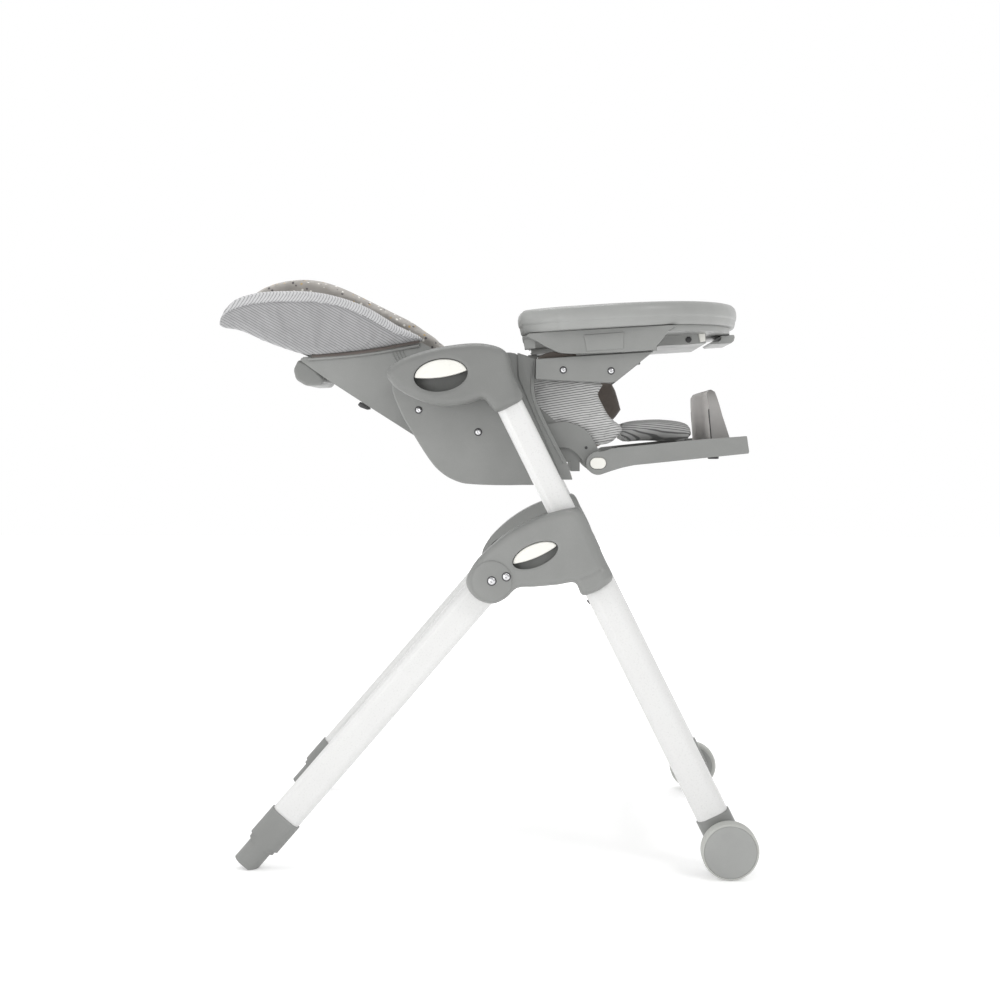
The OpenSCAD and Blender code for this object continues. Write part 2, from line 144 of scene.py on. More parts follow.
def tinted(colour, factor):
    return tuple(min(1.0, c * factor) for c in colour[:3]) + (1.0,)


def moulded(name, colour, rough=0.42, grain=900.0, depth=0.00006):
    """Moulded plastic: faint flow clouding, a fine spark-eroded grain and uneven sheen."""
    s = Shader(name)
    cloud = s.ramp(s.noise(14.0, 4.0), 0.3, 0.7)
    shade = s.mix(cloud, tinted(colour, 0.95), tinted(colour, 1.05))
    fine = s.noise(grain, 2.0)
    shade = s.mix(s.ramp(fine, 0.25, 0.75, 0.0, 0.35), shade, tinted(colour, 0.9))
    s.bump(fine, depth, 0.6)
    sheen = s.ramp(s.noise(40.0, 3.0), 0.3, 0.7, rough - 0.05, rough + 0.07)
    return s.finish(shade, sheen, IOR=1.48)


def powder_coat(name, colour):
    """White powder coat over steel tube, with its slight orange peel."""
    s = Shader(name)
    peel = s.noise(420.0, 2.0)
    cloud = s.ramp(s.noise(6.0, 3.0), 0.35, 0.65)
    shade = s.mix(cloud, tinted(colour, 0.975), colour)
    s.bump(peel, 0.00004, 0.5)
    sheen = s.ramp(peel, 0.3, 0.7, 0.26, 0.36)
    return s.finish(shade, sheen, IOR=1.5, Coat_Weight=0.15)


def plated(name):
    s = Shader(name)
    brush = s.noise(300.0, 3.0, stretch=(1.0, 1.0, 12.0))
    shade = s.mix(brush, srgb(176, 176, 178), srgb(214, 214, 216))
    return s.finish(shade, s.ramp(brush, 0.3, 0.7, 0.16, 0.3), Metallic=1.0)


def striped(name, direction, light, dark, pitch=0.0036, thin=0.36):
    """Woven stripe: raised light bands with darker gaps, across the given direction."""
    s = Shader(name)
    wobble = s.math("MULTIPLY", s.math("SUBTRACT", s.noise(24.0, 2.0), 0.5), 0.0016)
    place = s.math("ADD", s.along(direction), wobble)
    wave = s.math("PINGPONG", s.math("MULTIPLY", place, 2.0 / pitch), 1.0)
    gap = s.ramp(wave, thin - 0.16, thin + 0.16)
    yarn = s.noise(2600.0, 2.0)
    cloud = s.ramp(s.noise(9.0, 3.0), 0.3, 0.7)
    pale = s.mix(cloud, tinted(light, 0.93), light)
    shade = s.mix(gap, dark, pale)
    shade = s.mix(s.ramp(yarn, 0.3, 0.8, 0.0, 0.3), shade, tinted(light, 0.72))
    height = s.math("ADD", s.math("MULTIPLY", gap, 0.7), s.math("MULTIPLY", yarn, 0.4))
    s.bump(height, 0.00012, 0.6)
    return s.finish(shade, s.ramp(yarn, 0.2, 0.8, 0.78, 0.92), Sheen_Weight=0.25,
                    Sheen_Roughness=0.5)


def woven(name, colour, flecks=False):
    """Plain woven cloth from crossed yarns, with small printed flecks where asked."""
    s = Shader(name)
    thread = 0.0011
    warp = s.math("PINGPONG", s.math("MULTIPLY", s.along((0.7, 0.7, 0.1)), 2 / thread), 1.0)
    weft = s.math("PINGPONG", s.math("MULTIPLY", s.along((-0.3, 0.4, 0.87)), 2 / thread), 1.0)
    cross = s.math("MAXIMUM", warp, weft)
    fuzz = s.noise(1500.0, 3.0)
    cloud = s.ramp(s.noise(11.0, 4.0), 0.3, 0.7)
    base = s.mix(cloud, tinted(colour, 0.88), tinted(colour, 1.08))
    shade = s.mix(s.math("MULTIPLY", cross, 0.4), base, tinted(colour, 1.35))
    shade = s.mix(s.ramp(fuzz, 0.3, 0.8, 0.0, 0.4), shade, tinted(colour, 0.7))
    if flecks:
        for seed, tone in ((0.0, srgb(226, 224, 218)), (3.1, srgb(176, 150, 104)),
                           (7.7, srgb(88, 84, 86))):
            cell = s.node("TexVoronoi", Scale=82.0, Randomness=0.9)
            shift = s.node("Mapping", Location=(seed, seed * 0.7, -seed))
            s.link(s.coords, shift.inputs["Vector"])
            s.link(shift.outputs["Vector"], cell.inputs["Vector"])
            spot = s.ramp(cell.outputs["Distance"], 0.13, 0.2, 1.0, 0.0)
            shade = s.mix(spot, shade, tone)
    s.bump(s.math("ADD", cross, fuzz), 0.0002, 0.7)
    return s.finish(shade, s.ramp(fuzz, 0.2, 0.8, 0.8, 0.94), Sheen_Weight=0.3,
                    Sheen_Roughness=0.5)


GREY = srgb(129, 130, 128)
STRIPE_LIGHT = srgb(196, 196, 195)
STRIPE_DARK = srgb(104, 104, 104)
M = {
    "grey": moulded("grey_plastic", GREY),
    # Housing: the same grey plastic, its colour darkened as painted shade to offset the extra
    # light its faces catch
    "housing": moulded("housing_plastic_shaded", srgb(116, 117, 115), 0.46),
    "tray": moulded("tray_plastic", srgb(143, 144, 142), 0.36, 1300.0, 0.00003),
    "tyre": moulded("tyre_rubber", srgb(176, 177, 173), 0.7, 700.0, 0.00012),
    "wheel": moulded("wheel_plastic", srgb(150, 151, 149), 0.5),
    "foot": moulded("foot_plastic", srgb(150, 148, 146), 0.6, 600.0, 0.0001),
    "lever": moulded("lever_plastic", srgb(226, 225, 219), 0.3, 1500.0, 0.00002),
    "dark": moulded("dark_plastic", srgb(52, 52, 53), 0.4),
    "paint": powder_coat("white_steel", srgb(211, 211, 210)),
    "steel": plated("bright_steel"),
    "side": striped("side_stripe", (-0.16, 0.2, 0.985), STRIPE_LIGHT, STRIPE_DARK),
    "wing": striped("wing_stripe", (0.5, 0.12, 0.86), srgb(157, 157, 158),
                    srgb(108, 108, 109), thin=0.26),
    "band": striped("band_stripe", (0.72, 0.45, -0.5), srgb(190, 190, 191),
                    srgb(126, 126, 127), thin=0.26),
    "calf": striped("calf_stripe", (0.1, 0.55, 0.83), srgb(188, 188, 187), srgb(98, 98, 98)),
    "taupe": woven("taupe_cloth", srgb(112, 104, 98)),
    "print": woven("printed_cloth", srgb(158, 154, 149), flecks=True),
    "webbing": woven("webbing", srgb(96, 96, 97)),
    "binding": woven("binding_tape", srgb(84, 77, 73)),
    # Pale liner of the foot plate, its colour partly its own tone and partly painted light
    "liner_and_painted_light": woven("foot_liner_painted_light", srgb(246, 240, 235)),
}


# ---------------------------------------------------------------- mesh tools

def new_piece(name, bm, material, body, node=None, smooth_angle=35.0):
    """Turns a bmesh into a piece that rides on a body."""
    bmesh.ops.recalc_face_normals(bm, faces=bm.faces)
    mesh = bpy.data.meshes.new(name)
    bm.to_mesh(mesh)
    bm.free()
    piece = bpy.data.objects.new(name, mesh)
    scene.collection.objects.link(piece)
    mesh.materials.append(M[material])
    shade(piece, smooth_angle)
    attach(piece, body)
    if node:
        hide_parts(*([node] if isinstance(node, str) else node))
    return piece


def shade(piece, angle=35.0):
    """Smooth shading with hard edges over the given angle."""
    mesh = piece.data
    mesh.shade_smooth()
    bm = bmesh.new()
    bm.from_mesh(mesh)
    limit = math.radians(angle)
    for edge in bm.edges:
        if len(edge.link_faces) == 2 and edge.calc_face_angle(0.0) > limit:
            edge.smooth = False
    bm.to_mesh(mesh)
    bm.free()


def from_node(node):
    """A node's own shape with its flat faces merged, ready to work on."""
    bm = bmesh.new()
    bm.from_mesh(nodes[node].data)
    bmesh.ops.remove_doubles(bm, verts=bm.verts, dist=0.00002)
    bmesh.ops.dissolve_limit(bm, angle_limit=math.radians(0.6), verts=bm.verts, edges=bm.edges)
    return bm


def round_edges(bm, width, keep=lambda a, b: True, segments=3, angle=32.0):
    """Rounds the sharp edges that keep() accepts."""
    sharp = [
        e for e in bm.edges
        if len(e.link_faces) == 2 and e.calc_face_angle(0.0) > math.radians(angle)
        and keep(e.verts[0].co, e.verts[1].co)
    ]
    if sharp:
        bmesh.ops.bevel(bm, geom=sharp, offset=width, segments=segments, profile=0.5,
                        affect="EDGES", clamp_overlap=True, miter_outer="ARC")


def body_of_node(node):
    for body, members in frame["record"]["behaviour"]["bodies"].items():
        if node in members:
            return body
    raise ValueError(node)


def soften(node, material, width, rules=()):
    """Replaces a CAD node with the same shape, its edges rounded. rules holds (width, keep)
    pairs that are rounded first."""
    bm = from_node(node)
    for first_width, keep in rules:
        round_edges(bm, first_width * MM, keep, 5)
    if width:
        round_edges(bm, width * MM)
    return new_piece(node + "_shell", bm, material, body_of_node(node), node)


def coat(node, material):
    """Gives a CAD node, kept as it is, its material and smooth shading."""
    piece = nodes[node]
    piece.data.materials.clear()
    piece.data.materials.append(M[material])
    shade_kept(piece)


def shade_kept(piece, angle=35.0):
    """Smooth shading on a CAD node without touching where its points are."""
    mesh = piece.data
    mesh.shade_smooth()
    bm = bmesh.new()
    bm.from_mesh(mesh)
    where = {}
    for edge in bm.edges:
        key = tuple(sorted(tuple(round(c, 6) for c in v.co) for v in edge.verts))
        where.setdefault(key, []).append(edge)
    sharp = set()
    for same in where.values():
        faces = [f for e in same for f in e.link_faces]
        if len(faces) == 2 and faces[0].normal.angle(faces[1].normal, 0.0) > math.radians(angle):
            sharp.update(e.index for e in same)
    bm.free()
    for i in sharp:
        mesh.edges[i].use_edge_sharp = True


def tube(name, points, radius, material, body):
    """Piping or a rib through points in metres, as a mesh."""
    curve = bpy.data.curves.new(name, "CURVE")
    curve.dimensions = "3D"
    curve.bevel_depth = radius
    curve.bevel_resolution = 2
    curve.use_fill_caps = True
    spline = curve.splines.new("NURBS")
    spline.points.add(len(points) - 1)
    for target, p in zip(spline.points, points):
        target.co = (*p, 1.0)
    spline.order_u = 4
    spline.use_endpoint_u = True
    holder = bpy.data.objects.new(name + "_path", curve)
    scene.collection.objects.link(holder)
    mesh = bpy.data.meshes.new_from_object(holder.evaluated_get(
        bpy.context.evaluated_depsgraph_get()))
    bpy.data.objects.remove(holder)
    bpy.data.curves.remove(curve)
    bm = bmesh.new()
    bm.from_mesh(mesh)
    bpy.data.meshes.remove(mesh)
    return new_piece(name, bm, material, body, smooth_angle=60.0)


def catmull(points, steps=6, closed=True):
    """Smooth curve through points of any dimension."""
    count = len(points)
    vecs = [Vector(p) for p in points]
    out = []
    spans = count if closed else count - 1
    for i in range(spans):
        def at(k):
            return vecs[k % count] if closed else vecs[min(max(k, 0), count - 1)]
        a, b, c, d = at(i - 1), at(i), at(i + 1), at(i + 2)
        for k in range(steps):
            t = k / steps
            out.append(b + 0.5 * t * ((c - a) + t * (2 * a - 5 * b + 4 * c - d
                                                     + t * (3 * (b - c) + d - a))))
    if not closed:
        out.append(vecs[-1])
    return out


def spaced(points, step, closed=True):
    """The same line with its points at an even spacing."""
    ring = list(points) + ([points[0]] if closed else [])
    lengths = [(b - a).length for a, b in zip(ring, ring[1:])]
    total = sum(lengths)
    count = max(3, round(total / step))
    out, seg, done = [], 0, 0.0
    for i in range(count if closed else count + 1):
        want = total * i / count
        while seg < len(lengths) - 1 and done + lengths[seg] < want:
            done += lengths[seg]
            seg += 1
        t = (want - done) / max(lengths[seg], 1e-9)
        out.append(ring[seg].lerp(ring[seg + 1], min(max(t, 0), 1)))
    return out


def line_distance(p, line):
    """Shortest distance from a 2-D point to a polyline."""
    best = 1e9
    for a, b in zip(line, line[1:]):
        ab = b - a
        t = min(max((p - a).dot(ab) / max(ab.length_squared, 1e-12), 0.0), 1.0)
        best = min(best, (p - a - ab * t).length)
    return best


def inside(p, ring):
    odd = False
    for a, b in zip(ring, ring[1:] + ring[:1]):
        if (a.y > p.y) != (b.y > p.y) and p.x < (b.x - a.x) * (p.y - a.y) / (b.y - a.y) + a.x:
            odd = not odd
    return odd


def patch(ring, step):
    """Triangles that fill a closed 2-D ring: points, triangles, distance of each to the rim."""
    rim = spaced(ring, step)
    loop = rim + [rim[0]]
    low = Vector((min(p.x for p in rim), min(p.y for p in rim)))
    high = Vector((max(p.x for p in rim), max(p.y for p in rim)))
    points = list(rim)
    row, y = 0, low.y
    while y < high.y:
        x = low.x + (step / 2 if row % 2 else 0)
        while x < high.x:
            p = Vector((x, y))
            if inside(p, rim) and line_distance(p, loop) > step * 0.55:
                points.append(p)
            x += step
        y += step * 0.866
        row += 1
    edges = [(i, (i + 1) % len(rim)) for i in range(len(rim))]
    verts, _, faces, *_ = delaunay_2d_cdt(points, edges, [], 1, 1e-6)
    return verts, faces, [line_distance(v, loop) for v in verts]


def cushion(name, ring, y0, y1, rounding, material, body, node=None, step=4.0,
            crown=0.0, seams=(), seam_depth=2.0, seam_width=4.0, rumple=0.5, puff=0.0,
            mirror=1, extra_materials=(), face_material=None):
    """A sewn pad seen from the side: outline in x and z (mm), from y0 to y1. Its rim is
    rounded, its faces crowned, and its seams pulled in."""
    ring2 = [Vector((p[0], p[1])) for p in ring]
    points, faces, deep = patch(ring2, step)
    widest = max(deep)
    bm = bmesh.new()
    sheets = {1: [], -1: []}
    middle = (y0 + y1) / 2
    half = (y1 - y0) / 2
    for way in (1, -1):
        for p, d in zip(points, deep):
            t = min(d / rounding, 1.0)
            fall = rounding * (1 - math.sqrt(max(0.0, 1 - (1 - t) ** 2)))
            swell = crown * math.sin(min(d / widest, 1.0) * math.pi / 2)
            pull = sum(seam_depth * math.exp(-(line_distance(p, s) / seam_width) ** 2)
                       for s in seams)
            lumps = rumple * min(d / 8, 1) * noise.fractal(
                Vector((p.x * 0.045, p.y * 0.06, way * 3.0 + y0)), 1.0, 2.0, 3)
            off = half - fall + swell - min(pull, half * 0.8) * min(1, d / 4) + lumps
            off = max(off, 0.6)
            sheets[way].append(bm.verts.new((p.x * MM, mirror * (middle + way * off) * MM,
                                             p.y * MM)))
    for way in (1, -1):
        for f in faces:
            bm.faces.new([sheets[way][i] for i in (f if way > 0 else reversed(f))])
    rim_edges = {}
    for f in faces:
        for a, b in zip(f, list(f[1:]) + [f[0]]):
            key = (min(a, b), max(a, b))
            rim_edges[key] = None if key in rim_edges else (a, b)
    for pair in rim_edges.values():
        if pair:
            a, b = pair
            quad = [sheets[1][a], sheets[-1][a], sheets[-1][b], sheets[1][b]]
            bm.faces.new(quad)
    bmesh.ops.remove_doubles(bm, verts=bm.verts, dist=0.0004)
    piece = new_piece(name, bm, material, body, node, 80.0)
    if puff:
        rim = ring2 + [ring2[0]]
        inflate(piece, lambda v: any(
            line_distance(Vector((v.x / MM, v.z / MM)), s) < step * 0.8
            for s in (rim, *seams)), puff)
    for extra in extra_materials:
        piece.data.materials.append(M[extra])
    if face_material:
        for poly in piece.data.polygons:
            poly.material_index = face_material(poly.center)
    return piece


def inflate(piece, held, cap, pressure=4.0, frames=14, slack=-0.03):
    """Puffs a closed fabric piece with air from inside, its held points fixed, then applies
    the result. No point moves more than cap millimetres."""
    mesh = piece.data
    before = [v.co.copy() for v in mesh.vertices]
    group = piece.vertex_groups.new(name="sewn")
    group.add([v.index for v in mesh.vertices if held(v.co)], 1.0, "REPLACE")
    cloth = piece.modifiers.new("air", "CLOTH")
    settings = cloth.settings
    settings.quality = 4
    settings.mass = 0.25
    settings.tension_stiffness = settings.compression_stiffness = 12
    settings.bending_stiffness = 0.6
    settings.use_pressure = True
    settings.uniform_pressure_force = pressure
    settings.shrink_min = slack
    settings.vertex_group_mass = "sewn"
    settings.effector_weights.gravity = 0.0
    cloth.collision_settings.use_collision = False
    cloth.point_cache.frame_start = 1
    cloth.point_cache.frame_end = frames
    for f in range(1, frames + 1):
        scene.frame_set(f)
    solved = piece.evaluated_get(bpy.context.evaluated_depsgraph_get()).data
    after = [v.co.copy() for v in solved.vertices]
    piece.modifiers.remove(cloth)
    piece.vertex_groups.remove(group)
    for v, a, b in zip(mesh.vertices, before, after):
        move = b - a
        if move.length > cap * MM:
            move *= cap * MM / move.length
        v.co = a + move
    mesh.update()
    scene.frame_set(1)


def quilt(name, spine, half_width, top, under, material, body, node=None, step=4.0,
          edge=14.0, grooves=(), rumple=0.6, puff=0.0):
    """A pad that lies across the seat: its underside follows spine (x and z, mm), it is top
    thick above it and under below it, and its edges pull in. grooves holds (place, axis,
    depth, width) channels, with axis "s" along the spine or "y" across it."""
    line = spaced([Vector(p) for p in catmull(spine, 8, closed=False)], step, closed=False)
    total = sum((b - a).length for a, b in zip(line, line[1:]))
    columns = max(6, round(2 * half_width / step))
    bm = bmesh.new()
    rows = {1: [], -1: []}
    run = 0.0
    for i, p in enumerate(line):
        a, b = line[max(0, i - 1)], line[min(len(line) - 1, i + 1)]
        run += (line[i] - line[i - 1]).length if i else 0.0
        along = (b - a).normalized()
        normal = Vector((-along.y, along.x))
        if normal.y < 0:
            normal.negate()
        thick = top(run / total) if callable(top) else top
        for way, depth in ((1, thick), (-1, under)):
            row = []
            for j in range(columns + 1):
                y = -half_width + 2 * half_width * j / columns
                d = min(run, total - run, half_width - abs(y))
                t = min(max(d, 0) / edge, 1.0)
                rise = math.sqrt(max(0.0, 1 - (1 - t) ** 2))
                lump = rumple * t * noise.fractal(Vector((run * 0.04, y * 0.035, way * 2.0)),
                                                  1.0, 2.0, 3)
                cut = 0.0
                for place, axis, deep_cut, wide in grooves:
                    gap = (run - place * total) if axis == "s" else (abs(y) - place)
                    cut += deep_cut * math.exp(-(gap / wide) ** 2)
                high = depth * rise * (1 + 0.12 * t) + (lump - cut * t) * (way > 0)
                q = p + normal * way * max(high, 0.0)
                row.append(bm.verts.new((q.x * MM, y * MM, q.y * MM)))
            rows[way].append(row)
    for way in (1, -1):
        for r, s in zip(rows[way], rows[way][1:]):
            for j in range(columns):
                bm.faces.new((r[j], r[j + 1], s[j + 1], s[j]))
    last = len(line) - 1
    for j in range(columns):
        for i in (0, last):
            bm.faces.new((rows[1][i][j], rows[1][i][j + 1], rows[-1][i][j + 1], rows[-1][i][j]))
    for i in range(last):
        for j in (0, columns):
            bm.faces.new((rows[1][i][j], rows[1][i + 1][j], rows[-1][i + 1][j], rows[-1][i][j]))
    bmesh.ops.remove_doubles(bm, verts=bm.verts, dist=0.0002)
    piece = new_piece(name, bm, material, body, node, 80.0)
    if puff:
        inflate(piece, lambda v: False, puff)
    return piece


def skin(name, ring, hole, low, face, rounding, material, body, mirror, dip=None,
         step=3.2, pocket=9.0, wall=3.5):
    """The outer face of a moulded shell: its rim rolls over by rounding, and hole opens it.
    dip(p) lowers a point further. Round the hole it is only wall thick, over the pocket that
    the lever slides in. All in mm."""
    outer = spaced(ring, step)
    inner = spaced(hole, step)
    loops = (outer + [outer[0]], inner + [inner[0]])
    points = outer + inner
    box_low = Vector((min(p.x for p in outer), min(p.y for p in outer)))
    box_high = Vector((max(p.x for p in outer), max(p.y for p in outer)))
    row, y = 0, box_low.y
    while y < box_high.y:
        x = box_low.x + (step / 2 if row % 2 else 0)
        while x < box_high.x:
            p = Vector((x, y))
            if (inside(p, outer) and not inside(p, inner)
                    and min(line_distance(p, loop) for loop in loops) > step * 0.5):
                points.append(p)
            x += step
        y += step * 0.866
        row += 1
    n, m = len(outer), len(inner)
    edges = [(i, (i + 1) % n) for i in range(n)]
    edges += [(n + i, n + (i + 1) % m) for i in range(m)]
    flat, _, tris, *_ = delaunay_2d_cdt(points, edges, [], 1, 1e-6)
    tris = [f for f in tris
            if not inside((flat[f[0]] + flat[f[1]] + flat[f[2]]) / 3, inner)]
    bm = bmesh.new()
    top, under = [], []
    for p in flat:
        d = line_distance(p, loops[0])
        k = min(d / rounding, 1.0)
        fall = rounding * (1 - math.sqrt(max(0.0, 1 - (1 - k) ** 2)))
        d = line_distance(p, loops[1])
        fall += max(0.0, 1.2 - d * 0.5) + (dip(p) if dip else 0.0)
        high = max(face - fall, low + 0.6)
        base = min(face - wall + 0.1, high - 0.6) if d < pocket + step else low
        top.append(bm.verts.new((p.x * MM, mirror * high * MM, p.y * MM)))
        under.append(bm.verts.new((p.x * MM, mirror * base * MM, p.y * MM)))
    border = {}
    for f in tris:
        bm.faces.new([top[i] for i in f])
        bm.faces.new([under[i] for i in reversed(f)])
        for a, b in zip(f, list(f[1:]) + [f[0]]):
            key = (min(a, b), max(a, b))
            border[key] = None if key in border else (a, b)
    for pair in border.values():
        if pair:
            a, b = pair
            bm.faces.new((top[a], under[a], under[b], top[b]))
    return new_piece(name, bm, material, body, None, 50.0)


def lowered(node, material, level, grip, pocket, far=1e9):
    """A node's own shape with everything beyond level pressed back to it. Its finger hole
    opens to the width of the pocket behind, no further along x than far."""
    bm = from_node(node)
    hole, wide = oval(grip), oval(grip, pocket - 0.3)
    for v in bm.verts:
        if abs(v.co.y) > level * MM:
            p = Vector((v.co.x, v.co.z)) / MM
            near = min(range(len(hole)), key=lambda k: (hole[k] - p).length)
            if (hole[near] - p).length < 0.4:
                v.co.x = min(wide[near].x, far) * MM
                v.co.z = wide[near].y * MM
            v.co.y = math.copysign(level * MM, v.co.y)
    bmesh.ops.dissolve_degenerate(bm, dist=0.00002, edges=bm.edges)
    return new_piece(node + "_core", bm, material, body_of_node(node), node)


def oval(spec, grow=0.0):
    cx, cz, long, high, tilt = spec
    turn = math.radians(tilt)
    out = []
    for k in range(48):
        a = 2 * math.pi * k / 48
        u, w = (long + grow) * math.cos(a), (high + grow) * math.sin(a)
        out.append(Vector((cx + u * math.cos(turn) - w * math.sin(turn),
                           cz + u * math.sin(turn) + w * math.cos(turn))))
    return out


def ribbon(name, points, half_width, thick, material, body, node=None, across=(0, 1, 0)):
    """A flat strap: its middle line in mm, its width along across."""
    line = spaced(catmull(points, 6, closed=False), 3.0, closed=False)
    wide = Vector(across).normalized()
    bm = bmesh.new()
    rings = []
    section = [(-1, 0.3), (-0.92, 1), (-0.8, 0.72), (-0.3, 0.9), (0.3, 0.9), (0.8, 0.72),
               (0.92, 1), (1, 0.3)]
    section += [(u, -v) for u, v in reversed(section)]
    for i, p in enumerate(line):
        along = (line[min(i + 1, len(line) - 1)] - line[max(i - 1, 0)]).normalized()
        side = (wide - along * wide.dot(along)).normalized()
        up = along.cross(side)
        rings.append([bm.verts.new((p + side * u * half_width + up * v * thick / 2) * MM)
                      for u, v in section])
    for a, b in zip(rings, rings[1:]):
        for k in range(len(section)):
            n = (k + 1) % len(section)
            bm.faces.new((a[k], a[n], b[n], b[k]))
    bm.faces.new(list(reversed(rings[0])))
    bm.faces.new(rings[-1])
    return new_piece(name, bm, material, body, node, 50.0)


def block(name, outline, y0, y1, material, body, bevel):
    """A small moulded part: an outline pulled from y0 to y1, with rounded edges."""
    bm = bmesh.new()
    ends = []
    for y in (y0, y1):
        ends.append([bm.verts.new((p[0] * MM, y * MM, p[1] * MM)) for p in outline])
    count = len(outline)
    bm.faces.new(ends[0])
    bm.faces.new(list(reversed(ends[1])))
    for i in range(count):
        n = (i + 1) % count
        bm.faces.new((ends[0][i], ends[1][i], ends[1][n], ends[0][n]))
    bmesh.ops.recalc_face_normals(bm, faces=bm.faces)
    round_edges(bm, bevel * MM, angle=40.0)
    return new_piece(name, bm, material, body)


def screw(name, centre, y, radius, body, way):
    """Screw in a countersink, its shade painted as a dark disc round the head: a chrome dome with
    a driver recess.
    """
    disc(name + "_sink_shade", centre, way * y, radius + 1.5, 0.5, "dark", body, way,
         [(1.0, 0.0), (1.0, 0.6), (0.94, 1.0), (0.7, 1.0)])
    disc(name + "_head", centre, way * y, radius, 2.4, "steel", body, way,
         [(1.0, 0.0), (1.0, 0.45), (0.9, 0.75), (0.7, 0.93), (0.46, 1.0), (0.42, 0.55),
          (0.2, 0.5)])


ROUND_CAP = [(1.0, 0.0), (1.0, 0.55), (0.93, 0.82), (0.8, 0.95), (0.5, 1.0)]


def disc(name, centre, y, radius, height, material, body, facing, rings=ROUND_CAP):
    """A turned cap or screw head on the side of the chair, its profile given as
    (share of radius, share of height)."""
    bm = bmesh.new()
    sides = 40
    loops = []
    for r, h in rings:
        loops.append([bm.verts.new((
            (centre[0] + radius * r * math.cos(2 * math.pi * k / sides)) * MM,
            (y + facing * height * h) * MM,
            (centre[1] + radius * r * math.sin(2 * math.pi * k / sides)) * MM))
            for k in range(sides)])
    for a, b in zip(loops, loops[1:]):
        for k in range(sides):
            n = (k + 1) % sides
            bm.faces.new((a[k], a[n], b[n], b[k]))
    bm.faces.new(loops[0])
    bm.faces.new(loops[-1])
    return new_piece(name, bm, material, body)


# ---------------------------------------------------------------- camera, lights and floor

eye = bpy.data.cameras.new("camera")
camera = bpy.data.objects.new("camera", eye)
scene.collection.objects.link(camera)
camera.location = (0.1004, -2.4, 0.6406)
look = Vector((-49.5, 1471.0, -63.0)).normalized()
camera.rotation_euler = look.to_track_quat("-Z", "Y").to_euler()
eye.sensor_width = 36.0
eye.lens = 52.96
scene.camera = camera


def area_light(name, place, target, size, watts):
    lamp = bpy.data.lights.new(name, "AREA")
    lamp.shape = "DISK"
    lamp.size = size
    lamp.energy = watts
    holder = bpy.data.objects.new(name, lamp)
    scene.collection.objects.link(holder)
    holder.location = place
    holder.rotation_euler = (Vector(target) - Vector(place)).to_track_quat("-Z", "Y").to_euler()


area_light("key", (1.9, -2.2, 2.3), (0.0, 0.0, 0.5), 1.0, 17)
area_light("fill", (-2.6, -1.3, 1.5), (0.0, 0.0, 0.5), 1.4, 12)
area_light("top", (-0.3, 0.3, 3.0), (0.0, 0.0, 0.4), 1.6, 22)
area_light("low", (-0.9, -2.4, 0.6), (0.3, 0.0, 0.62), 0.9, 8)
world = bpy.data.worlds.new("studio")
world.use_nodes = True
sky = world.node_tree
# A white studio wall behind the chair and a slightly dimmer room in front of it
aim = sky.nodes.new("ShaderNodeTexCoord")
split = sky.nodes.new("ShaderNodeSeparateXYZ")
wall = sky.nodes.new("ShaderNodeMapRange")
wall.interpolation_type = "SMOOTHSTEP"
for key, number in (("From Min", -0.35), ("From Max", 0.45), ("To Min", 0.74), ("To Max", 1.0)):
    wall.inputs[key].default_value = number
sky.links.new(aim.outputs["Generated"], split.inputs[0])
sky.links.new(split.outputs["Y"], wall.inputs["Value"])
sky.links.new(wall.outputs["Result"], sky.nodes["Background"].inputs["Strength"])
sky.nodes["Background"].inputs["Color"].default_value = (1.0, 1.0, 1.0, 1.0)
scene.world = world
scene.view_settings.view_transform = "Standard"

floor_mesh = bpy.data.meshes.new("floor")
floor_bm = bmesh.new()
bmesh.ops.create_grid(floor_bm, x_segments=8, y_segments=8, size=7.0)
floor_bm.to_mesh(floor_mesh)
floor_bm.free()
floor = bpy.data.objects.new("floor", floor_mesh)
scene.collection.objects.link(floor)
floor.location = (0.0, 0.0, -0.0006)
paper = Shader("floor_paper_glow")
pulp = paper.ramp(paper.noise(3.0, 3.0), 0.3, 0.7)
# Painted glow: the paper gives off light of its own, weakest by the chair and rising away from it
# into the white wall, which also lifts the floor's shadows
reach = paper.node("VectorMath", operation="LENGTH")
paper.link(paper.coords, reach.inputs[0])
paper.link(paper.ramp(reach.outputs["Value"], 0.4, 1.8, 0.22, 0.6),
           paper.bsdf.inputs["Emission Strength"])
paper.bsdf.inputs["Emission Color"].default_value = (1.0, 1.0, 1.0, 1.0)
floor_mesh.materials.append(paper.finish(
    paper.mix(pulp, (0.93, 0.93, 0.93, 1), (0.95, 0.95, 0.95, 1)), Roughness=0.9))


# ---------------------------------------------------------------- frame and moulded shells

for node in nodes:
    coat(node, {
        "front_axles": "steel", "frame_fasteners": "steel", "seat_fasteners": "steel",
        "buckle_button": "tray", "harness_buckle": "dark", "foot_knob": "dark",
        "tray_lever": "tray", "tray_carrier": "tray", "wheel_left": "wheel",
        "wheel_right": "wheel", "tyre_left": "tyre", "tyre_right": "tyre",
        "foot_plate": "foot",
    }.get(node, "grey"))
for node in ("front_leg", "rear_leg", "upper_tube"):
    for side in SIDES:
        coat(f"{node}_{side}", "paint")
for node in ("front_crossbar", "rear_crossbar"):
    coat(node, "paint")
for side in SIDES:
    coat(f"housing_{side}", "housing")

